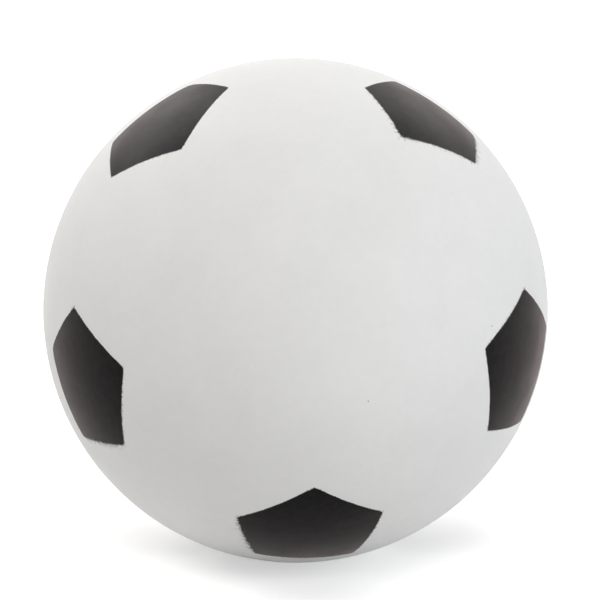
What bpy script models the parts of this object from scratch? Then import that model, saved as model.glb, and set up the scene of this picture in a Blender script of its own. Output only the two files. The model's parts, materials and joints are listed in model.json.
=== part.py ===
"""Mini soccer ball: a seamless white cover moulded over an air bladder, with black pentagons sprayed on
through masks and a push-in needle valve. Metres, +Z up, origin at the ball's centre.

The ball is drawn in its own axes, with the pole that has no pentagon on -Y and the valve on +Y.
The empty ball_axis then turns it to the way it lies.
"""

import math

import bmesh
import bpy
from mathutils import Matrix, Vector

MM = 0.001

# Ball and its two plies
BALL_RADIUS = 63.5 * MM
COVER_WALL = 2.0 * MM
BLADDER_WALL = 0.9 * MM
CLEARANCE = 0.3 * MM

# Sprayed pentagons: the reach from the centre to a corner is measured along the ball's surface
PENTAGON_REACH = 19.5 * MM
PAINT_FILM = 0.4 * MM

# The masks of the front ring are flexible and were laid by hand, so their corners lie a little off their
# regular places. There is a row for each mask, bottom first, then anticlockwise. In it is a pair for each
# corner, anticlockwise from the one that points to the bare pole: how far it lies outwards and anticlockwise.
FRONT_CORNERS_MM = (
    ((0.5, -1.0), (-0.5, -0.5), (0.5, -2.0), (1.5, -1.5), (-0.5, 0.0)),
    ((0.5, 0.0), (-0.5, 1.0), (2.0, 0.0), (0.5, 0.5), (-0.5, 0.5)),
    ((0.5, -1.5), (-1.0, -1.0), (-4.0, -5.0), (-5.5, 3.0), (-2.5, 1.0)),
    ((0.0, -0.5), (0.5, 0.5), (-3.5, -4.5), (-4.0, 2.0), (-1.0, 0.0)),
    ((0.0, -1.0), (-0.5, 0.0), (-2.5, -1.5), (-0.5, 1.0), (-0.5, -0.5)),
)

# Valve, with every depth measured inwards from the flat face of the housing's rim
CORE_RECESS = 0.2 * MM
CORE_HEAD_RADIUS = 3.4 * MM
CORE_HEAD_HEIGHT = 2.0 * MM
CORE_STEM_RADIUS = 2.2 * MM
CORE_STEM_LENGTH = 10.0 * MM
CORE_TIP_CHAMFER = 0.7 * MM
DIMPLE_RADIUS = 1.5 * MM
DIMPLE_DEPTH = 1.4 * MM
NEEDLE_RADIUS = 0.6 * MM
NEEDLE_DEPTH = 8.0 * MM
HOUSING_RIM_WALL = 1.3 * MM
HOUSING_TUBE_WALL = 1.5 * MM
HOUSING_OVERHANG = 0.5 * MM
FLANGE_RADIUS = 9.0 * MM
FLANGE_THICKNESS = 1.0 * MM

# How the ball lies: the bare pole is raised, and the ball is turned a little on its axis and to one side
LIE_TILT_DEG = -16.0
LIE_ROLL_DEG = -2.5
LIE_YAW_DEG = 2.0

# Facets: stretches along each edge of a panel, and steps round the valve, turned out of line with the panels
OUTER_STRETCHES = 5
INNER_STRETCHES = 3
VALVE_STEPS = 32
VALVE_TURN_DEG = 1.0

# Five pentagons stand round each pole at this angle, where an icosahedron has its corners
RING_ANGLE = math.atan(2)
RING_COUNT = 5

# Sizes that follow from the ones above
COVER_INNER_RADIUS = BALL_RADIUS - COVER_WALL
BLADDER_RADIUS = COVER_INNER_RADIUS - CLEARANCE
BLADDER_INNER_RADIUS = BLADDER_RADIUS - BLADDER_WALL
POCKET_DEPTH = PAINT_FILM + CLEARANCE
RIM_RADIUS = CORE_HEAD_RADIUS + CLEARANCE + HOUSING_RIM_WALL
VALVE_HOLE_RADIUS = RIM_RADIUS + CLEARANCE
TUBE_RADIUS = CORE_STEM_RADIUS + CLEARANCE + HOUSING_TUBE_WALL
CORE_LENGTH = CORE_HEAD_HEIGHT + CORE_STEM_LENGTH


def drop(radius, reach):
    """How far out a sphere of this radius lies at this distance from the valve's axis."""
    return math.sqrt(radius**2 - reach**2)


# The rim's flat face meets the ball's round surface at the edge of the valve hole
RIM_FACE_OUT = drop(BALL_RADIUS, VALVE_HOLE_RADIUS)


def material(name, colour, roughness):
    """A plain finish for one kind of piece."""
    made = bpy.data.materials.new(name)
    made.use_nodes = True
    shader = made.node_tree.nodes["Principled BSDF"]
    shader.inputs["Base Color"].default_value = (*colour, 1)
    shader.inputs["Roughness"].default_value = roughness
    shader.inputs["Metallic"].default_value = 0
    return made


def add_object(name, mesh, finish, parent):
    """A node of the ball, in its parent's axes."""
    made = bpy.data.objects.new(name, mesh)
    bpy.context.scene.collection.objects.link(made)
    mesh.materials.append(finish)
    made.parent = parent
    return made


def add_empty(name, placing, parent=None):
    made = bpy.data.objects.new(name, None)
    bpy.context.scene.collection.objects.link(made)
    made.parent = parent
    made.matrix_local = placing
    return made


def mesh_from(bm, name):
    """The finished mesh, shaded smooth apart from its real edges."""
    mesh = bpy.data.meshes.new(name)
    bm.to_mesh(mesh)
    bm.free()
    mesh.shade_smooth()
    mesh.set_sharp_from_angle(angle=math.radians(35))
    return mesh


# Pattern

def pentagon_centres():
    """Name and direction of each of the twelve pentagon places, in the ball's own axes."""
    centres = {"bare": Vector((0, -1, 0)), "valve": Vector((0, 1, 0))}
    for k in range(RING_COUNT):
        around = math.radians(-90 + 360 * k / RING_COUNT)
        out = math.sin(RING_ANGLE)
        front = Vector((out * math.cos(around), -math.cos(RING_ANGLE), out * math.sin(around)))
        centres[f"front_{k + 1}"] = front
        centres[f"rear_{k + 1}"] = -front
    return centres


CENTRES = pentagon_centres()
SPRAYED = [name for name in CENTRES if name != "bare"]


def first_neighbour(name):
    """The place that a pentagon's first corner points to: its own pole, or the first of a pole's ring."""
    return {"bare": "front_1", "valve": "rear_1"}.get(name) or ("bare" if "front" in name else "valve")


def ring_axes(name):
    """Directions along the surface at a place: towards its first neighbour, and to the left of that."""
    centre = CENTRES[name]
    first = CENTRES[first_neighbour(name)]
    inwards = (first - centre * centre.dot(first)).normalized()
    return inwards, centre.cross(inwards)


def bearing(name, towards):
    """The angle round one place at which another lies, anticlockwise from the first neighbour."""
    inwards, across = ring_axes(name)
    return math.atan2(CENTRES[towards].dot(across), CENTRES[towards].dot(inwards))


def neighbours(name):
    """The five places round this one, in order anticlockwise as seen from outside."""
    centre = CENTRES[name]
    near = [n for n, c in CENTRES.items() if n != name and c.angle(centre) < RING_ANGLE * 1.01]
    return sorted(near, key=lambda n: bearing(name, n))


def corner_error(name, turn):
    """How far outwards and anticlockwise of its regular place a corner lies, given its turn."""
    if not name.startswith("front_"):
        return 0.0, 0.0
    corners = FRONT_CORNERS_MM[int(name[-1]) - 1]
    outwards, around = corners[round(turn / math.tau * RING_COUNT) % RING_COUNT]
    return outwards * MM, around * MM


def corner(name, towards, margin):
    """The corner of a pentagon that points to a neighbour, as a direction. The margin widens its reach."""
    centre = CENTRES[name]
    inwards, across = ring_axes(name)
    turn = bearing(name, towards)
    outwards = inwards * math.cos(turn) + across * math.sin(turn)
    further, around = corner_error(name, turn)
    reach = (PENTAGON_REACH + further + margin) / BALL_RADIUS
    regular = centre * math.cos(reach) + outwards * math.sin(reach)
    aside = around / BALL_RADIUS
    return regular * math.cos(aside) + centre.cross(outwards) * math.sin(aside)


def pentagon_outline(name, margin):
    return [corner(name, n, margin) for n in neighbours(name)]


def hexagon_outlines(margin):
    """The outline of the white space between each three pentagons that meet."""
    for a in CENTRES:
        ring = neighbours(a)
        for i, b in enumerate(ring):
            c = ring[(i + 1) % RING_COUNT]
            if a == min(a, b, c):
                yield [corner(*pair, margin) for pair in ((a, b), (b, a), (b, c), (c, b), (c, a), (a, c))]


def refine(bm, stretches, radius):
    """Cuts every outline into small triangles and blows them up to a sphere."""
    bmesh.ops.poke(bm, faces=bm.faces[:])
    for v in bm.verts:
        v.co.normalize()
    bmesh.ops.subdivide_edges(bm, edges=bm.edges[:], cuts=stretches - 1, use_grid_fill=True)
    bmesh.ops.triangulate(bm, faces=bm.faces[:])
    for v in bm.verts:
        v.co = v.co.normalized() * radius


def panelled_sphere(radius, margin, stretches):
    """A sphere whose facets follow the pentagons. Each pentagon's facets have its number in layer "panel"."""
    bm = bmesh.new()
    panel = bm.faces.layers.int.new("panel")
    for number, name in enumerate(CENTRES, start=1):
        face = bm.faces.new([bm.verts.new(co) for co in pentagon_outline(name, margin)])
        face[panel] = number
    for outline in hexagon_outlines(margin):
        bm.faces.new([bm.verts.new(co) for co in outline])
    bmesh.ops.remove_doubles(bm, verts=bm.verts[:], dist=1e-5)
    refine(bm, stretches, radius)
    return bm


def add_inner_wall(bm, radius):
    """Adds the surface on the inside of a hollow ball, facing the middle."""
    inner = panelled_sphere(radius, 0, INNER_STRETCHES)
    bmesh.ops.reverse_faces(inner, faces=inner.faces[:])
    lining = bpy.data.meshes.new("lining")
    inner.to_mesh(lining)
    inner.free()
    bm.from_mesh(lining)
    bpy.data.meshes.remove(lining)


# Pieces

def sink_pocket(bm, number):
    """Lowers one pentagon's facets, with a wall all round, to make room for its film of paint."""
    panel = bm.faces.layers.int["panel"]
    facets = [f for f in bm.faces if f[panel] == number]
    made = bmesh.ops.extrude_face_region(bm, geom=facets)["geom"]
    bmesh.ops.delete(bm, geom=[f for f in facets if f.is_valid], context="FACES_ONLY")
    for v in made:
        if isinstance(v, bmesh.types.BMVert):
            v.co = v.co.normalized() * (BALL_RADIUS - POCKET_DEPTH)


def cover_mesh():
    """The white moulded cover: a hollow ball with a shallow pocket under each sprayed pentagon."""
    bm = panelled_sphere(BALL_RADIUS, CLEARANCE, OUTER_STRETCHES)
    for number, name in enumerate(CENTRES, start=1):
        if name in SPRAYED:
            sink_pocket(bm, number)
    add_inner_wall(bm, COVER_INNER_RADIUS)
    return mesh_from(bm, "cover")


def bladder_mesh():
    """The air bladder: a thin hollow ball inside the cover, with facets that match the cover's lining."""
    bm = panelled_sphere(BLADDER_RADIUS, 0, INNER_STRETCHES)
    add_inner_wall(bm, BLADDER_INNER_RADIUS)
    return mesh_from(bm, "bladder")


def pentagon_mesh(name):
    """One sprayed pentagon: a curved film that fills its pocket to the level of the cover."""
    bm = bmesh.new()
    bm.faces.new([bm.verts.new(co) for co in pentagon_outline(name, 0)])
    refine(bm, OUTER_STRETCHES, BALL_RADIUS)
    made = bmesh.ops.extrude_face_region(bm, geom=bm.faces[:], use_keep_orig=True)["geom"]
    for v in made:
        if isinstance(v, bmesh.types.BMVert):
            v.co = v.co.normalized() * (BALL_RADIUS - PAINT_FILM)
    bmesh.ops.recalc_face_normals(bm, faces=bm.faces[:])
    return mesh_from(bm, name)


def turned(name, profile, finish, parent):
    """A round piece of the valve: the closed profile, as (radius, height), turned about the valve's axis."""
    bm = bmesh.new()
    points = [bm.verts.new((r, 0, z)) for r, z in profile]
    for a, b in zip(points, points[1:] + points[:1]):
        if a.co.x or b.co.x:
            bm.edges.new((a, b))
    made = add_object(name, mesh_from(bm, name), finish, parent)
    screw = made.modifiers.new("turn", "SCREW")
    screw.axis = "Z"
    screw.angle = math.tau
    screw.steps = screw.render_steps = VALVE_STEPS
    screw.use_merge_vertices = True
    screw.merge_threshold = 0.01 * MM
    return made


def housing_profile():
    """The valve's housing: a rim in the cover's hole, a flange under the bladder, a tube round the core."""
    head_bore = CORE_HEAD_RADIUS + CLEARANCE
    stem_bore = CORE_STEM_RADIUS + CLEARANCE
    seat = -(CORE_RECESS + CORE_HEAD_HEIGHT + CLEARANCE)
    end = -(CORE_RECESS + CORE_LENGTH + HOUSING_OVERHANG)
    flange_in = drop(BLADDER_INNER_RADIUS, RIM_RADIUS) - RIM_FACE_OUT - CLEARANCE
    flange_edge = drop(BLADDER_INNER_RADIUS, FLANGE_RADIUS) - RIM_FACE_OUT - CLEARANCE
    flange_under = flange_edge - FLANGE_THICKNESS
    return (
        (RIM_RADIUS, 0),
        (RIM_RADIUS, flange_in),
        (FLANGE_RADIUS, flange_edge),
        (FLANGE_RADIUS, flange_under),
        (TUBE_RADIUS, flange_under),
        (TUBE_RADIUS, end),
        (stem_bore, end),
        (stem_bore, seat),
        (head_bore, seat),
        (head_bore, 0),
    )


def core_profile():
    """The valve's core: a head, a stem with a chamfered tip, and a dimple that leads the needle in."""
    face = -CORE_RECESS
    shoulder = face - CORE_HEAD_HEIGHT
    tip = face - CORE_LENGTH
    return (
        (DIMPLE_RADIUS, face),
        (CORE_HEAD_RADIUS, face),
        (CORE_HEAD_RADIUS, shoulder),
        (CORE_STEM_RADIUS, shoulder),
        (CORE_STEM_RADIUS, tip + CORE_TIP_CHAMFER),
        (CORE_STEM_RADIUS - CORE_TIP_CHAMFER, tip),
        (0, tip),
        (0, face - NEEDLE_DEPTH),
        (NEEDLE_RADIUS, face - NEEDLE_DEPTH),
        (NEEDLE_RADIUS, face - DIMPLE_DEPTH),
    )


def valve_cutter(parent):
    """The round hole through the cover, the pentagon round the valve and the bladder."""
    bm = bmesh.new()
    depth = RIM_FACE_OUT - drop(BLADDER_INNER_RADIUS, FLANGE_RADIUS) + 2 * FLANGE_THICKNESS
    bmesh.ops.create_cone(
        bm,
        cap_ends=True,
        segments=VALVE_STEPS,
        radius1=VALVE_HOLE_RADIUS,
        radius2=VALVE_HOLE_RADIUS,
        depth=2 * depth,
    )
    mesh = bpy.data.meshes.new("valve_cutter")
    bm.to_mesh(mesh)
    bm.free()
    made = bpy.data.objects.new("valve_cutter", mesh)
    bpy.context.scene.collection.objects.link(made)
    made.parent = parent
    made.hide_render = True
    made.display_type = "WIRE"
    return made


def cut(piece, cutter):
    hole = piece.modifiers.new("valve_hole", "BOOLEAN")
    hole.operation = "DIFFERENCE"
    hole.solver = "EXACT"
    hole.object = cutter


def main():
    for old in bpy.data.objects[:]:
        bpy.data.objects.remove(old)
    white_rubber = material("white_rubber", (0.80, 0.80, 0.79), 0.5)
    black_paint = material("black_paint", (0.012, 0.011, 0.011), 0.45)
    bladder_rubber = material("bladder_rubber", (0.05, 0.04, 0.035), 0.6)
    valve_rubber = material("valve_rubber", (0.55, 0.55, 0.53), 0.55)

    lie = (
        Matrix.Rotation(math.radians(LIE_TILT_DEG), 4, "X")
        @ Matrix.Rotation(math.radians(LIE_ROLL_DEG), 4, "Y")
        @ Matrix.Rotation(math.radians(LIE_YAW_DEG), 4, "Z")
    )
    ball_axis = add_empty("ball_axis", lie)
    at_the_rim = (
        Matrix.Translation((0, RIM_FACE_OUT, 0))
        @ Matrix.Rotation(-math.pi / 2, 4, "X")
        @ Matrix.Rotation(math.radians(VALVE_TURN_DEG), 4, "Z")
    )
    valve_axis = add_empty("valve_axis", at_the_rim, ball_axis)
    cutter = valve_cutter(valve_axis)

    cut(add_object("cover", cover_mesh(), white_rubber, ball_axis), cutter)
    cut(add_object("bladder", bladder_mesh(), bladder_rubber, ball_axis), cutter)
    for name in SPRAYED:
        pentagon = add_object(f"pentagon_{name}", pentagon_mesh(name), black_paint, ball_axis)
        if name == "valve":
            cut(pentagon, cutter)
    turned("valve_housing", housing_profile(), white_rubber, valve_axis)
    turned("valve_core", core_profile(), valve_rubber, valve_axis)


main()
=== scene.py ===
"""Looks of the mini soccer ball: a smooth white rubber cover, sprayed black pentagons and a needle valve.

Metres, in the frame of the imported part: +Z up, the origin at the ball's centre, the valve on the far side.
"""

import json
import math

import bmesh
import bpy
import numpy as np
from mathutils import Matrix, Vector


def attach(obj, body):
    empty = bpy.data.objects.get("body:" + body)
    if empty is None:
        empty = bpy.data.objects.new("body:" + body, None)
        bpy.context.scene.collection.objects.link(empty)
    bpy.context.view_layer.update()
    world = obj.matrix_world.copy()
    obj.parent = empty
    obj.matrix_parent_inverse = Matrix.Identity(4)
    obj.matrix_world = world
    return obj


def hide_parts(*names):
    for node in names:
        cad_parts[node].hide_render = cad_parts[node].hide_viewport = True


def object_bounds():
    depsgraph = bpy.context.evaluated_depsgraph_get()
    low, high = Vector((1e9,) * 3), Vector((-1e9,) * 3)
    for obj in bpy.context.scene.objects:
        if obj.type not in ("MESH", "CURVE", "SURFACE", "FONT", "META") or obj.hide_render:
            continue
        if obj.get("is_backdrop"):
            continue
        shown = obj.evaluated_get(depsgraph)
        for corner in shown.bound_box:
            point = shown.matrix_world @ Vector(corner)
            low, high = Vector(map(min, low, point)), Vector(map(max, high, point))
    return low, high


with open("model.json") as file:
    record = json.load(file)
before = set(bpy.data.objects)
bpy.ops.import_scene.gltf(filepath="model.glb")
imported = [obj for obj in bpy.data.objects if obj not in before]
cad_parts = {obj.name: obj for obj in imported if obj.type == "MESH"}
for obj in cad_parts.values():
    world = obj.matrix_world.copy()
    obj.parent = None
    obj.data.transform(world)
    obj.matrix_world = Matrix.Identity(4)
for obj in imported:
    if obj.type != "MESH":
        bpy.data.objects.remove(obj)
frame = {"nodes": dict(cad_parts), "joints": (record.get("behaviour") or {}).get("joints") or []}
cad_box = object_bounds()

MM = 0.001

# Ball
BALL_RADIUS = max(v.co.length for v in frame["nodes"]["cover"].data.vertices)
COVER_WALL = 2.0 * MM
BLADDER_GAP = 0.3 * MM
BLADDER_WALL = 0.9 * MM
PAINT_FILM = 0.30 * MM
POCKET_DEPTH = 0.34 * MM
FILM_TAPER = 0.1 * MM

# Pattern: how far apart two corners of a pentagon are at least, and the middles of two neighbours at most
SIDES = 5
CORNERS_APART_DEG = 12
NEIGHBOURS_APART_DEG = 90

# Valve, with heights measured outwards from the flat face of the housing's rim. RIM_FACE is how far that face
# lies from the ball's centre
VALVE_AXIS = np.array(frame["joints"][0]["axis"]) / np.linalg.norm(frame["joints"][0]["axis"])
RIM_FACE = max(np.array(v.co) @ VALVE_AXIS for v in frame["nodes"]["valve_housing"].data.vertices)
VALVE_HOLE_RADIUS = 5.2 * MM
HOLE_LIP = 0.25 * MM
RIM_RADIUS = 5.0 * MM
RIM_HEAD_BORE = 3.6 * MM
TUBE_RADIUS = 4.0 * MM
TUBE_BORE = 2.35 * MM
FLANGE_RADIUS = 9.0 * MM
FLANGE_THICKNESS = 1.0 * MM
HOUSING_LENGTH = 12.7 * MM
CORE_RECESS = 0.2 * MM
CORE_SEAT_GAP = 0.2 * MM
CORE_HEAD_RADIUS = 3.45 * MM
CORE_HEAD_HEIGHT = 2.0 * MM
CORE_STEM_RADIUS = 2.2 * MM
CORE_LENGTH = 12.0 * MM
CORE_GROOVE_RADIUS = 2.45 * MM
CORE_GROOVE_WIDTH = 0.35 * MM
CORE_GROOVE_DEPTH = 0.25 * MM
DIMPLE_RADIUS = 1.5 * MM
DIMPLE_DEPTH = 1.3 * MM
NEEDLE_RADIUS = 0.5 * MM
NEEDLE_DEPTH = 8.0 * MM

# Fillets of the housing's edges and then of the core's
RIM_FILLET = 0.35 * MM
RIM_ROOT_FILLET = 0.4 * MM
FLANGE_FILLET = 0.3 * MM
TUBE_ROOT_FILLET = 0.8 * MM
TUBE_END_FILLET = 0.5 * MM
BORE_END_FILLET = 0.2 * MM
SEAT_FILLET = 0.15 * MM
HEAD_BORE_FILLET = 0.25 * MM
DIMPLE_FILLET = 0.3 * MM
GROOVE_FILLET = 0.08 * MM
HEAD_FILLET = 0.35 * MM
HEAD_UNDER_FILLET = 0.3 * MM
STEM_ROOT_FILLET = 0.25 * MM
STEM_TIP_FILLET = 0.8 * MM
CHANNEL_FILLET = 0.2 * MM

# Meshes: stretches along each panel's edge, rows round the valve hole, steps round the valve and in its
# fillets, how close points are when they are one, and how sharp an edge is when it shows
OUTER_STRETCHES = 16
INNER_STRETCHES = 6
HOLE_ROWS = 12
VALVE_STEPS = 72
FILLET_STEPS = 5
WELD_DISTANCE = 0.001 * MM
SHARP_EDGE_DEG = 40

# How loosely each front mask lay, from 0 to 1: its corners and then its edges, anticlockwise from the corner
# that points to the bare pole. The rear masks are drawn between two limits
LOOSE_FRONT = {
    "pentagon_front_1": ((0.25, 0.50, 0.30, 0.25, 0.35), (0.08, 0.85, 0.15, 0.30, 0.06)),
    "pentagon_front_2": ((0.20, 0.25, 0.20, 0.15, 0.30), (0.10, 0.15, 0.10, 0.15, 0.25)),
    "pentagon_front_3": ((1.00, 0.40, 0.30, 0.20, 0.15), (0.40, 0.75, 0.15, 0.10, 0.45)),
    "pentagon_front_4": ((0.20, 0.15, 0.15, 0.20, 0.25), (0.10, 0.10, 0.10, 0.15, 0.25)),
    "pentagon_front_5": ((0.15, 0.40, 0.25, 0.40, 0.35), (0.06, 0.15, 0.15, 0.75, 0.25)),
}
LOOSE_REAR_CORNERS = (0.10, 0.40)
LOOSE_REAR_EDGES = (0.04, 0.20)
LOOSE_SPREAD = 2.2 * MM
SEED = 5

# How round the corners of each front mask are, as radii in mm in the same order, and those of the rear masks
ROUND_FRONT = {
    "pentagon_front_1": (1.0, 0.3, 0.6, 0.2, 0.8),
    "pentagon_front_2": (1.3, 0.2, 1.0, 1.0, 0.8),
    "pentagon_front_3": (0.5, 0.2, 1.0, 0.6, 0.2),
    "pentagon_front_4": (1.1, 0.7, 3.4, 1.3, 0.2),
    "pentagon_front_5": (0.9, 0.7, 3.2, 0.7, 1.1),
}
ROUND_REAR = (1.0,) * SIDES

# How far teeth and hairs of paint are drawn out across the edge, what is taken off the hairs' pattern so that
# they stand apart, and how black they are, all as shares
TOOTH_PULL = 0.75
HAIR_PULL = 0.90
HAIR_THINNING = 0.10
HAIR_STRENGTH = 0.65

# Camera, as the photograph was taken, and where the ball stands in its frame
FRAME_PX = 600
BALL_CENTRE_PX = (295.6, 310.2)
BALL_RADIUS_PX = 252.5
CAMERA_ELEVATION_DEG = 12.14
CAMERA_DISTANCE = 0.796
SENSOR_MM = 36.0

# Floor: what it adds to the lamps' light near the ball, and from where to where it turns into plain white
FLOOR_RADIUS = 12.0
FLOOR_SIDES = 96
FLOOR_COLOUR = (0.88, 0.88, 0.88, 1)
FLOOR_GLOW = 0.52
SHADOW_REACH = 0.25
WHITE_FROM = 0.9

# Lamps: place, width and height, radiance on the scale of the room's white, and colour
LAMPS = {
    "front_key": ((0.0, -0.7, 0.95), (0.9, 0.9), 3.46, (1.0, 0.985, 0.975)),
    "left_fill": ((-0.9, 0.05, 0.75), (0.5, 0.5), 4.0, (1.0, 0.985, 0.965)),
    "right_fill": ((1.1, -0.45, 0.25), (0.9, 0.9), 2.45, (0.92, 0.955, 1.0)),
    "back_left": ((-0.55, 0.65, 0.75), (0.7, 0.7), 2.8, (1.0, 0.985, 0.965)),
    "back_right": ((0.55, 0.65, 0.75), (0.7, 0.7), 2.05, (1.0, 1.0, 0.98)),
    "back_strip": ((0.0, 1.6, 0.35), (2.4, 0.6), 0.7, (1.0, 0.985, 0.965)),
}

# Colours, and how far apart specks of dust lie on the white, in mm
PLAIN_WHITE = (1, 1, 1, 1)
WHITE = (0.80, 0.80, 0.79, 1)
BLACK = (0.0022, 0.0020, 0.0020, 1)
DEEP_BLACK = (0.0006, 0.0006, 0.0006, 1)
THIN_BLACK = (0.0050, 0.0044, 0.0044, 1)
WARM_SHEEN = (1.0, 0.30, 0.20, 1)
CORE_GREY = (0.50, 0.50, 0.485, 1)
BUTYL = (0.045, 0.038, 0.034, 1)
TALC = (0.42, 0.40, 0.38, 1)
# Dark specks of dust on the white, and also the painted shade in the valve core's dimple and groove
DUST_AND_SHADE = (0.16, 0.14, 0.12, 1)
SPECK_SPACING = 17.0


def unit(vector):
    """A vector of the same direction, one long."""
    return vector / np.linalg.norm(vector)


def along(steps):
    """Shares from 0 to 1, both ends included."""
    return [k / steps for k in range(steps + 1)]


# Pattern: the pentagons are read from the frame, and the white spaces lie between them


class Pentagon:
    """A pentagon of the pattern, as directions from the ball's centre, with its corners anticlockwise."""

    def __init__(self, name, middle, corners):
        self.name = name
        self.middle = middle
        self.corners = corners

    def corner_towards(self, other):
        """The corner that points to another pentagon."""
        return max(self.corners, key=lambda corner: corner @ other.middle)

    def start_at(self, other):
        """Makes the corner that points to another pentagon the first one."""
        first = int(np.argmax([corner @ other.middle for corner in self.corners]))
        self.corners = self.corners[first:] + self.corners[:first]

    def edge_normals(self):
        """Unit vectors square to the plane of each edge and the ball's centre, pointing into the pentagon."""
        following = self.corners[1:] + self.corners[:1]
        return np.array([unit(np.cross(a, b)) for a, b in zip(self.corners, following)])


def anticlockwise(middle, rays):
    """Directions in order round a middle, as seen from outside the ball."""
    across = unit(rays[0] - middle * (rays[0] @ middle))
    up = np.cross(middle, across)
    return sorted(rays, key=lambda ray: math.atan2(ray @ up, ray @ across))


def read_pentagon(name):
    """Finds the corners of a node's pentagon: the five directions furthest from its middle."""
    points = np.array([v.co for v in frame["nodes"][name].data.vertices])
    rays = points / np.linalg.norm(points, axis=1)[:, None]
    middle = unit(rays.mean(axis=0))
    corners = []
    same_corner = math.cos(math.radians(CORNERS_APART_DEG))
    for ray in rays[np.argsort(rays @ middle)]:
        if all(ray @ corner < same_corner for corner in corners):
            corners.append(ray)
        if len(corners) == SIDES:
            break
    middle = unit(np.sum(corners, axis=0))
    return Pentagon(name, middle, anticlockwise(middle, corners))


def bare_pentagon(rear, front):
    """The unsprayed place opposite the valve, with a corner towards each pentagon of the front ring."""
    middle = -rear.middle
    reach = math.acos(rear.middle @ rear.corners[0])
    corners = []
    for pentagon in front:
        outwards = unit(pentagon.middle - middle * (pentagon.middle @ middle))
        corners.append(middle * math.cos(reach) + outwards * math.sin(reach))
    return Pentagon("bare", middle, anticlockwise(middle, corners))


def hexagons(pentagons):
    """The outline of the white space between each three pentagons that meet."""
    meet = math.cos(math.radians(NEIGHBOURS_APART_DEG))
    for i, a in enumerate(pentagons):
        for j, b in enumerate(pentagons):
            for c in pentagons[max(i, j) + 1:]:
                close = min(a.middle @ b.middle, b.middle @ c.middle, c.middle @ a.middle) > meet
                if i != j and close and np.cross(a.middle, b.middle) @ c.middle > 0:
                    yield [one.corner_towards(other) for one, other in
                           ((a, b), (b, a), (b, c), (c, b), (c, a), (a, c))]


# Meshes


def fan(outline, stretches):
    """Directions and triangles that cover a panel from its middle to its edges."""
    middle = unit(np.sum(outline, axis=0))
    rays, faces = [], []
    for a, b in zip(outline, outline[1:] + outline[:1]):
        start = len(rays)
        for row in range(stretches + 1):
            for column in range(row + 1):
                rays.append(unit(middle * (stretches - row) + a * (row - column) + b * column))
        for row in range(stretches):
            for column in range(row + 1):
                here = start + row * (row + 1) // 2 + column
                below = here + row + 1
                faces.append((here, below, below + 1))
                if column < row:
                    faces.append((here, below + 1, here + 1))
    return rays, faces


def outline_rays(outline, stretches):
    """Directions all along a panel's outline."""
    rays = []
    for a, b in zip(outline, outline[1:] + outline[:1]):
        rays += [unit(a * (stretches - column) + b * column) for column in range(stretches)]
    return rays


def hole_ray(ray):
    """The direction on the edge of the valve hole that lies towards a given one."""
    angle = math.asin(VALVE_HOLE_RADIUS / BALL_RADIUS)
    return VALVE_AXIS * math.cos(angle) + unit(ray - VALVE_AXIS * (ray @ VALVE_AXIS)) * math.sin(angle)


def ring(outline, stretches):
    """Directions and faces that cover a panel from its edges to the valve hole."""
    rim = outline_rays(outline, stretches)
    rays = [unit(ray * (1 - share) + hole_ray(ray) * share) for share in along(HOLE_ROWS) for ray in rim]
    return rays, band_faces(len(rim), HOLE_ROWS)


def band_faces(columns, rows):
    """Faces of a closed band: rows of points, each round the inside of the one before."""
    faces = []
    for row in range(rows):
        for column in range(columns):
            following = (column + 1) % columns
            low, high = row * columns, (row + 1) * columns
            faces.append((low + column, low + following, high + following, high + column))
    return faces


class Solid:
    """Points and faces gathered for one closed piece."""

    def __init__(self):
        self.points = []
        self.faces = []

    def add(self, points, faces, flip=False):
        """Adds points, and faces that count them from 0."""
        start = len(self.points)
        self.points += [tuple(point) for point in points]
        for face in faces:
            numbers = [start + k for k in face]
            self.faces.append(numbers[::-1] if flip else numbers)

    def shell(self, sheets, radius, flip=False):
        """Adds sheets of directions, as surface at one distance from the ball's centre."""
        for rays, faces in sheets:
            self.add([ray * radius for ray in rays], faces, flip)

    def band(self, loop, following):
        """Adds the wall from one loop of points to the next, which lies inside it or below it."""
        self.add(list(loop) + list(following), band_faces(len(loop), 1))

    def mesh(self, name):
        """The welded mesh, with its open loops bridged, shaded smooth apart from its real edges."""
        mesh = bpy.data.meshes.new(name)
        mesh.from_pydata(self.points, [], self.faces)
        bm = bmesh.new()
        bm.from_mesh(mesh)
        bmesh.ops.remove_doubles(bm, verts=bm.verts[:], dist=WELD_DISTANCE)
        open_edges = [edge for edge in bm.edges if edge.is_boundary]
        if open_edges:
            bmesh.ops.bridge_loops(bm, edges=open_edges)
        bmesh.ops.recalc_face_normals(bm, faces=bm.faces[:])
        bm.to_mesh(mesh)
        bm.free()
        mesh.shade_smooth()
        mesh.set_sharp_from_angle(angle=math.radians(SHARP_EDGE_DEG))
        return mesh


def bladder_solid(panels, rear):
    """The bladder: a plain hollow ball inside the cover, with the valve hole in its rear panel."""
    outside = BALL_RADIUS - COVER_WALL - BLADDER_GAP
    solid = Solid()
    for radius, flip in ((outside, False), (outside - BLADDER_WALL, True)):
        solid.shell([fan(outline, INNER_STRETCHES) for outline in panels], radius, flip)
        solid.shell([ring(rear.corners, INNER_STRETCHES)], radius, flip)
    return solid


def cover_solid(pentagons, rear, white_panels, panels):
    """The moulded cover: white panels at full height, and a shallow pocket under each film of paint."""
    solid = Solid()
    solid.shell([fan(outline, OUTER_STRETCHES) for outline in white_panels], BALL_RADIUS)
    floor = BALL_RADIUS - POCKET_DEPTH
    for pentagon in pentagons:
        sheet = ring if pentagon is rear else fan
        solid.shell([sheet(pentagon.corners, OUTER_STRETCHES)], floor)
        rim = outline_rays(pentagon.corners, OUTER_STRETCHES)
        solid.band([ray * BALL_RADIUS for ray in rim], [ray * floor for ray in rim])
    inside = BALL_RADIUS - COVER_WALL
    solid.shell([fan(outline, INNER_STRETCHES) for outline in panels], inside, flip=True)
    solid.shell([ring(rear.corners, INNER_STRETCHES)], inside, flip=True)
    return solid


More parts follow.
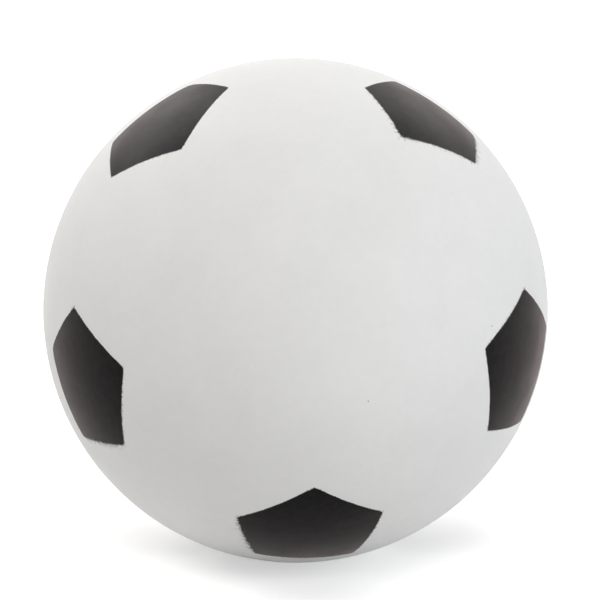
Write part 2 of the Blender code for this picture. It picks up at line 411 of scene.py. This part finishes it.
def film_solid(pentagon, rear):
    """One sprayed pentagon: a film level with the cover, its underside drawn in a little from the pocket."""
    solid = Solid()
    sheet = ring if pentagon is rear else fan
    rays, faces = sheet(pentagon.corners, OUTER_STRETCHES)
    solid.add([ray * film_radius(ray, pentagon is rear) for ray in rays], faces)
    reach = math.acos(pentagon.middle @ pentagon.corners[0])
    share = FILM_TAPER / (reach * BALL_RADIUS)
    drawn_in = [unit(corner * (1 - share) + pentagon.middle * share) for corner in pentagon.corners]
    rays, faces = sheet(drawn_in, OUTER_STRETCHES)
    under = BALL_RADIUS - PAINT_FILM
    solid.add([ray * under for ray in rays], faces, flip=True)
    upper_rim = outline_rays(pentagon.corners, OUTER_STRETCHES)
    lower_rim = outline_rays(drawn_in, OUTER_STRETCHES)
    solid.band([ray * under for ray in lower_rim], [ray * BALL_RADIUS for ray in upper_rim])
    return solid


def film_radius(ray, has_hole):
    """How far out the paint lies: level with the cover, and rounded over the lip of the valve hole."""
    if not has_hole:
        return BALL_RADIUS
    from_hole = BALL_RADIUS * math.acos(min(1, ray @ VALVE_AXIS)) - VALVE_HOLE_RADIUS
    into_lip = max(0, 1 - from_hole / HOLE_LIP)
    return BALL_RADIUS - HOLE_LIP * (1 - math.sqrt(max(0, 1 - into_lip**2)))


def rounded(corners):
    """A closed outline of (radius, height) points from corners that also give their fillet."""
    points = []
    for k, (r, h, fillet) in enumerate(corners):
        here = np.array((r, h))
        if not fillet:
            points.append(here)
            continue
        before = unit(np.array(corners[k - 1][:2]) - here)
        after = unit(np.array(corners[(k + 1) % len(corners)][:2]) - here)
        half = math.acos(max(-1, min(1, before @ after))) / 2
        centre = here + unit(before + after) * fillet / math.sin(half)
        first = here + before * fillet / math.tan(half) - centre
        last = here + after * fillet / math.tan(half) - centre
        arc = [unit(first * (1 - share) + last * share) for share in along(FILLET_STEPS)]
        points += [centre + ray * fillet for ray in arc]
    return points


def turned_solid(corners):
    """A round piece of the valve, from the outline of one half of its section."""
    side = unit(np.cross(VALVE_AXIS, (0, 0, 1)))
    up = np.cross(VALVE_AXIS, side)
    turns = [math.tau * k / VALVE_STEPS for k in range(VALVE_STEPS)]
    spokes = [side * math.cos(turn) + up * math.sin(turn) for turn in turns]
    profile = rounded(corners)
    loops = [[VALVE_AXIS * (RIM_FACE + h) + spoke * r for spoke in spokes] for r, h in profile]
    solid = Solid()
    for k, loop in enumerate(loops):
        if max(profile[k][0], profile[k - 1][0]) > 0:
            solid.band(loops[k - 1], loop)
    return solid


def housing_solid():
    """The valve's housing: a rim in the cover's hole, a flange under the bladder and a tube for the core."""
    under_bladder = BALL_RADIUS - COVER_WALL - 2 * BLADDER_GAP - BLADDER_WALL
    flange_in = math.sqrt(under_bladder**2 - RIM_RADIUS**2) - RIM_FACE
    flange_edge = math.sqrt(under_bladder**2 - FLANGE_RADIUS**2) - RIM_FACE
    flange_under = flange_edge - FLANGE_THICKNESS
    seat = -(CORE_RECESS + CORE_HEAD_HEIGHT + CORE_SEAT_GAP)
    return turned_solid((
        (RIM_RADIUS, 0, RIM_FILLET),
        (RIM_RADIUS, flange_in, RIM_ROOT_FILLET),
        (FLANGE_RADIUS, flange_edge, FLANGE_FILLET),
        (FLANGE_RADIUS, flange_under, FLANGE_FILLET),
        (TUBE_RADIUS, flange_under, TUBE_ROOT_FILLET),
        (TUBE_RADIUS, -HOUSING_LENGTH, TUBE_END_FILLET),
        (TUBE_BORE, -HOUSING_LENGTH, BORE_END_FILLET),
        (TUBE_BORE, seat, SEAT_FILLET),
        (RIM_HEAD_BORE, seat, SEAT_FILLET),
        (RIM_HEAD_BORE, 0, HEAD_BORE_FILLET),
    ))


def core_solid():
    """The valve's core: a head with a moulded groove and a dimple for the needle, and a round-tipped stem."""
    face = -CORE_RECESS
    groove_in = CORE_GROOVE_RADIUS - CORE_GROOVE_WIDTH / 2
    groove_out = CORE_GROOVE_RADIUS + CORE_GROOVE_WIDTH / 2
    return turned_solid((
        (DIMPLE_RADIUS, face, DIMPLE_FILLET),
        (groove_in, face, GROOVE_FILLET),
        (groove_in, face - CORE_GROOVE_DEPTH, GROOVE_FILLET),
        (groove_out, face - CORE_GROOVE_DEPTH, GROOVE_FILLET),
        (groove_out, face, GROOVE_FILLET),
        (CORE_HEAD_RADIUS, face, HEAD_FILLET),
        (CORE_HEAD_RADIUS, face - CORE_HEAD_HEIGHT, HEAD_UNDER_FILLET),
        (CORE_STEM_RADIUS, face - CORE_HEAD_HEIGHT, STEM_ROOT_FILLET),
        (CORE_STEM_RADIUS, face - CORE_LENGTH, STEM_TIP_FILLET),
        (0, face - CORE_LENGTH, 0),
        (0, face - NEEDLE_DEPTH, 0),
        (NEEDLE_RADIUS, face - NEEDLE_DEPTH, 0),
        (NEEDLE_RADIUS, face - DIMPLE_DEPTH, CHANNEL_FILLET),
    ))


# Edges of the paint: each point of the cover and the films knows its distance to the nearest edge


def loose_places(pentagons):
    """How loosely each mask lay at its corners and along its edges. The rear ones are drawn at random."""
    draw = np.random.default_rng(SEED)
    places = {}
    for pentagon in pentagons:
        corners = draw.uniform(*LOOSE_REAR_CORNERS, SIDES)
        edges = draw.uniform(*LOOSE_REAR_EDGES, SIDES)
        places[pentagon.name] = LOOSE_FRONT.get(pentagon.name, (corners, edges))
    return places


def round_corners(depth, points, pentagon):
    """The depth in a pentagon's paint, with each corner taken off by a circle that touches its two edges."""
    normals = pentagon.edge_normals()
    radii = ROUND_FRONT.get(pentagon.name, ROUND_REAR)
    for k, corner in enumerate(pentagon.corners):
        radius = radii[k] * MM
        arriving, leaving = np.cross(normals[k - 1], corner), np.cross(normals[k], corner)
        half = math.acos(-arriving @ leaving) / 2
        centre = corner * BALL_RADIUS + unit(leaving - arriving) * radius / math.sin(half)
        away = points - centre
        beyond = (away @ arriving > 0) & (away @ leaving < 0)
        depth = np.where(beyond, np.minimum(depth, radius - np.linalg.norm(away, axis=1)), depth)
    return depth


def mark_edges(mesh, pentagons, rear, places):
    """Stores the distance to the nearest edge of paint, in mm and positive in the paint, the nearest point on
    that edge, in mm, and how loosely the mask lay there."""
    points = np.array([v.co for v in mesh.vertices])
    rays = points / np.linalg.norm(points, axis=1)[:, None]
    numbers = np.arange(len(rays))
    best = np.full(len(rays), -np.inf)
    foot = np.zeros_like(rays)
    loose = np.zeros(len(rays))
    for pentagon in pentagons:
        normals = pentagon.edge_normals()
        inside = np.arcsin(rays @ normals.T) * BALL_RADIUS
        edge = inside.argmin(axis=1)
        depth = round_corners(inside[numbers, edge], rays * BALL_RADIUS, pentagon)
        nearest = rays - normals[edge] * (rays * normals[edge]).sum(axis=1)[:, None]
        corner_loose, edge_loose = places[pentagon.name]
        here = np.array(edge_loose)[edge]
        for corner, value in zip(pentagon.corners, corner_loose):
            away = np.linalg.norm(rays - corner, axis=1) * BALL_RADIUS
            here = here + (value - here) * np.exp(-((away / LOOSE_SPREAD) ** 2))
        if pentagon is rear:
            from_hole = np.arccos(np.clip(rays @ VALVE_AXIS, -1, 1)) * BALL_RADIUS - VALVE_HOLE_RADIUS
            depth = np.minimum(depth, from_hole + HOLE_LIP)
        nearer = depth > best
        best = np.where(nearer, depth, best)
        foot = np.where(nearer[:, None], nearest, foot)
        loose = np.where(nearer, here, loose)
    foot = foot / np.linalg.norm(foot, axis=1)[:, None] * BALL_RADIUS
    for name, kind, field, values in (
        ("paint_depth", "FLOAT", "value", best / MM),
        ("paint_edge", "FLOAT_VECTOR", "vector", foot / MM),
        ("paint_loose", "FLOAT", "value", loose),
    ):
        mesh.attributes.new(name, kind, "POINT").data.foreach_set(field, values.astype(np.float32).ravel())


# Materials


class Recipe:
    """The node tree of a material, with short ways to add to it."""

    # Sockets of a mix node for each kind of value: the first value, the second one and the result
    MIX_SOCKETS = {"FLOAT": (2, 3, 0), "VECTOR": (4, 5, 1), "RGBA": (6, 7, 2)}
    NOISE_GAIN = 4.0

    def __init__(self, name):
        self.material = bpy.data.materials.new(name)
        self.material.use_nodes = True
        self.tree = self.material.node_tree
        self.shader = self.tree.nodes["Principled BSDF"]

    def node(self, kind, inputs, **settings):
        """A new node, with its settings and what goes into it."""
        made = self.tree.nodes.new(kind)
        for key, value in settings.items():
            setattr(made, key, value)
        for key, value in inputs.items():
            self.feed(made.inputs[key], value)
        return made

    def feed(self, socket, value):
        """Links a socket to another one, or sets it to a value."""
        if isinstance(value, bpy.types.NodeSocket):
            self.tree.links.new(value, socket)
        else:
            socket.default_value = value

    def attribute(self, name, output):
        """What mark_edges stored with each point of the mesh."""
        return self.node("ShaderNodeAttribute", {}, attribute_name=name).outputs[output]

    def place(self):
        """Where a point lies on the object, in mm."""
        place = self.node("ShaderNodeTexCoord", {}).outputs["Object"]
        return self.node("ShaderNodeVectorMath", {0: place, "Scale": 1 / MM}, operation="SCALE").outputs[0]

    def math(self, operation, *values):
        """The result of one operation on numbers."""
        return self.node("ShaderNodeMath", dict(enumerate(values)), operation=operation).outputs[0]

    def scaled(self, value, by, plus=0.0):
        """A number times another, with a third one added."""
        return self.math("MULTIPLY_ADD", value, by, plus)

    def noise(self, place, size, detail=2.0):
        """Cloudy noise about zero, mostly within 1 either way, with features of a size in mm."""
        inputs = {"Vector": place, "Scale": 1 / size, "Detail": detail}
        share = self.node("ShaderNodeTexNoise", inputs).outputs[0]
        return self.scaled(share, by=self.NOISE_GAIN, plus=-self.NOISE_GAIN / 2)

    def step(self, value, low, high, start=0.0, end=1.0):
        """Goes smoothly from start to end as the value goes from low to high."""
        inputs = {"Value": value, "From Min": low, "From Max": high, "To Min": start, "To Max": end}
        return self.node("ShaderNodeMapRange", inputs, interpolation_type="SMOOTHSTEP").outputs[0]

    def mix(self, kind, share, a, b):
        """The first of two values of a kind where the share is 0, the second where it is 1."""
        first, second, result = self.MIX_SOCKETS[kind]
        return self.node("ShaderNodeMix", {0: share, first: a, second: b}, data_type=kind).outputs[result]

    def shade(self, colour, change):
        """A colour made lighter or darker by a share about 1."""
        inputs = {0: colour[:3], "Scale": change}
        return self.node("ShaderNodeVectorMath", inputs, operation="SCALE").outputs[0]

    def bump(self, height, depth):
        """A relief whose height runs to a depth in mm."""
        return self.node("ShaderNodeBump", {"Height": height, "Distance": depth * MM}).outputs[0]

    def finish(self, **sockets):
        """The material, once the shader's sockets are fed. Their names have _ for each space."""
        for name, value in sockets.items():
            self.feed(self.shader.inputs[name.replace("_", " ")], value)
        return self.material


def ink(recipe, place):
    """Where the paint lies, from 0 to 1: up to the mask's edge, ragged where the mask lay loosely, with faint
    hairs of paint that crept under it."""
    depth = recipe.attribute("paint_depth", "Fac")
    loose = recipe.attribute("paint_loose", "Fac")
    edge = recipe.attribute("paint_edge", "Vector")
    cut = recipe.scaled(recipe.noise(edge, size=3.5, detail=1.0), by=0.06, plus=depth)
    pulled = recipe.mix("VECTOR", TOOTH_PULL, place, edge)
    tooth_depth = recipe.scaled(loose, by=0.55, plus=0.05)
    teeth = recipe.scaled(recipe.noise(pulled, size=0.22, detail=1.0), by=tooth_depth, plus=cut)
    fleck_depth = recipe.scaled(loose, by=0.60, plus=0.04)
    frayed = recipe.scaled(recipe.noise(place, size=0.20, detail=3.0), by=fleck_depth, plus=teeth)
    combed = recipe.mix("VECTOR", HAIR_PULL, place, edge)
    strands = recipe.math("SUBTRACT", recipe.noise(combed, size=0.16, detail=0.0), HAIR_THINNING)
    hair_length = recipe.scaled(loose, by=2.2)
    crept = recipe.scaled(recipe.math("MAXIMUM", strands, 0.0), by=hair_length, plus=frayed)
    body = recipe.step(frayed, low=-0.09, high=0.09)
    hairs = recipe.step(crept, low=-0.10, high=0.18, end=HAIR_STRENGTH)
    return recipe.math("MAXIMUM", body, hairs)


def sprayed_rubber(name, **gloss):
    """White matte rubber, with black paint where it was sprayed."""
    recipe = Recipe(name)
    place = recipe.place()
    paint = ink(recipe, place)
    smudges = recipe.noise(place, size=2.0, detail=3.0)
    clouds = recipe.scaled(recipe.noise(place, size=14.0, detail=3.0), by=0.018, plus=1.0)
    white = recipe.shade(WHITE, recipe.scaled(smudges, by=0.012, plus=clouds))
    cells = recipe.node("ShaderNodeTexVoronoi", {"Vector": place, "Scale": 1 / SPECK_SPACING})
    specks = recipe.step(cells.outputs["Distance"], low=0.008, high=0.018, start=0.75, end=0.0)
    white = recipe.mix("RGBA", specks, white, DUST_AND_SHADE)
    black = recipe.mix("RGBA", recipe.step(smudges, low=-0.9, high=0.9), DEEP_BLACK, THIN_BLACK)
    worn = recipe.scaled(recipe.noise(place, size=5.0, detail=3.0), by=0.04, plus=0.55)
    satin = recipe.scaled(recipe.noise(place, size=6.0, detail=2.0), by=0.04, plus=0.35)
    grain = recipe.noise(place, size=0.7, detail=3.0)
    film = recipe.scaled(grain, by=0.25, plus=1.5)
    return recipe.finish(
        Base_Color=recipe.mix("RGBA", paint, white, black),
        Roughness=recipe.mix("FLOAT", paint, worn, satin),
        Normal=recipe.bump(recipe.mix("FLOAT", paint, grain, film), depth=0.006),
        **gloss,
    )


def valve_distance(recipe):
    """Where a point lies on the object, and how far from the valve's axis, both in mm."""
    place = recipe.place()
    crossed = recipe.node("ShaderNodeVectorMath", {0: place, 1: tuple(VALVE_AXIS)}, operation="CROSS_PRODUCT")
    length = recipe.node("ShaderNodeVectorMath", {0: crossed.outputs[0]}, operation="LENGTH")
    return place, length.outputs["Value"]


def housing_rubber():
    """The rim's white rubber, with a mist of paint on its outer edge."""
    recipe = Recipe("housing_rubber")
    place, away = valve_distance(recipe)
    white = recipe.shade(WHITE, recipe.scaled(recipe.noise(place, size=3.0), by=0.03, plus=0.95))
    speckled = recipe.scaled(recipe.noise(place, size=0.3, detail=3.0), by=0.35, plus=away)
    mist = recipe.step(speckled, low=4.80, high=5.10, end=0.8)
    grain = recipe.noise(place, size=0.5, detail=3.0)
    return recipe.finish(
        Base_Color=recipe.mix("RGBA", mist, white, BLACK),
        Roughness=recipe.scaled(grain, by=0.05, plus=0.58),
        Normal=recipe.bump(grain, depth=0.01),
    )


def core_rubber():
    """The core's grey rubber, with painted shade that darkens its dimple and groove."""
    recipe = Recipe("core_rubber")
    place, away = valve_distance(recipe)
    grey = recipe.shade(CORE_GREY, recipe.scaled(recipe.noise(place, size=1.8), by=0.06, plus=1.0))
    from_groove = recipe.math("ABSOLUTE", recipe.math("SUBTRACT", away, CORE_GROOVE_RADIUS / MM))
    # Painted shade: the core's colour is darkened towards the dust colour in its dimple and in its groove
    shade_in_dimple = recipe.step(away, low=0.6, high=1.7, start=0.8, end=0.0)
    shade_in_groove = recipe.step(from_groove, low=0.1, high=0.3, start=0.45, end=0.0)
    grain = recipe.noise(place, size=0.4, detail=3.0)
    return recipe.finish(
        Base_Color=recipe.mix("RGBA", recipe.math("MAXIMUM", shade_in_dimple, shade_in_groove), grey, DUST_AND_SHADE),
        Roughness=recipe.scaled(grain, by=0.05, plus=0.52),
        Normal=recipe.bump(grain, depth=0.012),
    )


def bladder_rubber():
    """Dark butyl rubber with a bloom of talc."""
    recipe = Recipe("bladder_rubber")
    place = recipe.place()
    bloom = recipe.step(recipe.noise(place, size=9.0, detail=5.0), low=-0.4, high=1.2, end=0.35)
    grain = recipe.noise(place, size=0.6, detail=3.0)
    return recipe.finish(
        Base_Color=recipe.mix("RGBA", bloom, BUTYL, TALC),
        Roughness=recipe.scaled(bloom, by=0.5, plus=0.5),
        Normal=recipe.bump(grain, depth=0.02),
    )


# Pieces


def add_object(name, data):
    """A new object in the scene, with a mesh, a lamp or a camera in it."""
    made = bpy.data.objects.new(name, data)
    bpy.context.scene.collection.objects.link(made)
    return made


def add_piece(name, mesh, finish, body, node):
    """One piece of the ball, which rides on a body in the place of a node."""
    piece = add_object(name, mesh)
    mesh.materials.append(finish)
    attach(piece, body)
    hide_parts(node)


def add_ball():
    """Every piece of the ball, each in the place of its node."""
    pentagons = [read_pentagon(name) for name in sorted(frame["nodes"]) if name.startswith("pentagon_")]
    rear = next(p for p in pentagons if p.name == "pentagon_valve")
    bare = bare_pentagon(rear, [p for p in pentagons if "front" in p.name])
    for pentagon in pentagons:
        pentagon.start_at(bare)
    spaces = list(hexagons(pentagons + [bare]))
    panels = [p.corners for p in pentagons if p is not rear] + [bare.corners] + spaces
    places = loose_places(pentagons)

    white = sprayed_rubber("white_rubber", Specular_IOR_Level=0.2)
    black = sprayed_rubber(
        "black_paint",
        Specular_IOR_Level=0.06,
        Sheen_Weight=0.10,
        Sheen_Roughness=0.3,
        Sheen_Tint=WARM_SHEEN,
    )
    cover = cover_solid(pentagons, rear, spaces + [bare.corners], panels).mesh("cover_skin")
    mark_edges(cover, pentagons, rear, places)
    add_piece("cover_skin", cover, white, "ball", "cover")
    for pentagon in pentagons:
        film = film_solid(pentagon, rear).mesh(pentagon.name + "_film")
        mark_edges(film, pentagons, rear, places)
        add_piece(film.name, film, black, "ball", pentagon.name)

    bladder = bladder_solid(panels, rear).mesh("bladder_skin")
    add_piece("bladder_skin", bladder, bladder_rubber(), "ball", "bladder")
    housing = housing_solid().mesh("housing_boot")
    add_piece("housing_boot", housing, housing_rubber(), "ball", "valve_housing")
    core = core_solid().mesh("core_plug")
    add_piece("core_plug", core, core_rubber(), "valve_core", "valve_core")


# Stage


def seen_directly(tree):
    """1 for rays from the camera, a reflection or a pane of glass, and 0 for light that falls on things."""
    path = tree.nodes.new("ShaderNodeLightPath")
    total = path.outputs["Is Camera Ray"]
    for kind in ("Is Glossy Ray", "Is Transmission Ray"):
        largest = tree.nodes.new("ShaderNodeMath")
        largest.operation = "MAXIMUM"
        tree.links.new(total, largest.inputs[0])
        tree.links.new(path.outputs[kind], largest.inputs[1])
        total = largest.outputs[0]
    return total


def face_ball(thing, place):
    """Puts a lamp or the camera in its place, turned towards the ball's centre."""
    thing.location = place
    thing.rotation_euler = (-Vector(place)).to_track_quat("-Z", "Y").to_euler()


def add_floor():
    """A pale floor, which keeps the ball's shadow and shows as white further away, where no lamp reaches."""
    bm = bmesh.new()
    bmesh.ops.create_circle(bm, cap_ends=True, segments=FLOOR_SIDES, radius=FLOOR_RADIUS)
    mesh = bpy.data.meshes.new("floor")
    bm.to_mesh(mesh)
    bm.free()
    floor = add_object("floor", mesh)
    floor.location.z = cad_box[0].z
    recipe = Recipe("floor")
    foot = recipe.node("ShaderNodeTexCoord", {}).outputs["Object"]
    away = recipe.node("ShaderNodeVectorMath", {0: foot}, operation="LENGTH").outputs["Value"]
    glow = recipe.step(away, low=SHADOW_REACH, high=WHITE_FROM, start=FLOOR_GLOW)
    mesh.materials.append(recipe.finish(
        Base_Color=FLOOR_COLOUR,
        Roughness=1.0,
        Specular_IOR_Level=0.0,
        Emission_Color=PLAIN_WHITE,
        Emission_Strength=recipe.math("MULTIPLY", seen_directly(recipe.tree), glow),
    ))
    floor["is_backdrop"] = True


def add_world():
    """A room that shows as white, also in reflections, and leaves the lighting to the lamps."""
    world = bpy.data.worlds.new("room")
    bpy.context.scene.world = world
    world.use_nodes = True
    tree = world.node_tree
    tree.nodes["Background"].inputs["Color"].default_value = PLAIN_WHITE
    tree.links.new(seen_directly(tree), tree.nodes["Background"].inputs["Strength"])


def add_softbox(name, place, size, radiance, colour):
    """A lamp of a width and a height that faces the ball, with radiance on the scale of the room's white."""
    lamp = bpy.data.lights.new(name, "AREA")
    lamp.shape = "RECTANGLE"
    lamp.size, lamp.size_y = size
    lamp.energy = radiance * math.pi * lamp.size * lamp.size_y
    lamp.color = colour
    holder = add_object(name, lamp)
    face_ball(holder, place)
    holder.visible_camera = False


def add_camera():
    """The camera, at the photograph's distance and height, with the ball where the photograph has it."""
    data = bpy.data.cameras.new("camera")
    data.sensor_width = SENSOR_MM
    limb = BALL_RADIUS / math.sqrt(CAMERA_DISTANCE**2 - BALL_RADIUS**2)
    data.lens = SENSOR_MM / 2 / (limb * FRAME_PX / 2 / BALL_RADIUS_PX)
    data.shift_x = (FRAME_PX / 2 - BALL_CENTRE_PX[0]) / FRAME_PX
    data.shift_y = (BALL_CENTRE_PX[1] - FRAME_PX / 2) / FRAME_PX
    camera = add_object("camera", data)
    elevation = math.radians(CAMERA_ELEVATION_DEG)
    face_ball(camera, Vector((0, -math.cos(elevation), math.sin(elevation))) * CAMERA_DISTANCE)
    bpy.context.scene.camera = camera


add_ball()
add_floor()
add_world()
for lamp_name, settings in LAMPS.items():
    add_softbox(lamp_name, *settings)
add_camera()
bpy.context.scene.view_settings.view_transform = "Standard"

boxes = {"cad": cad_box, "visual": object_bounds()}
{name: [list(corner) for corner in box] for name, box in boxes.items()}
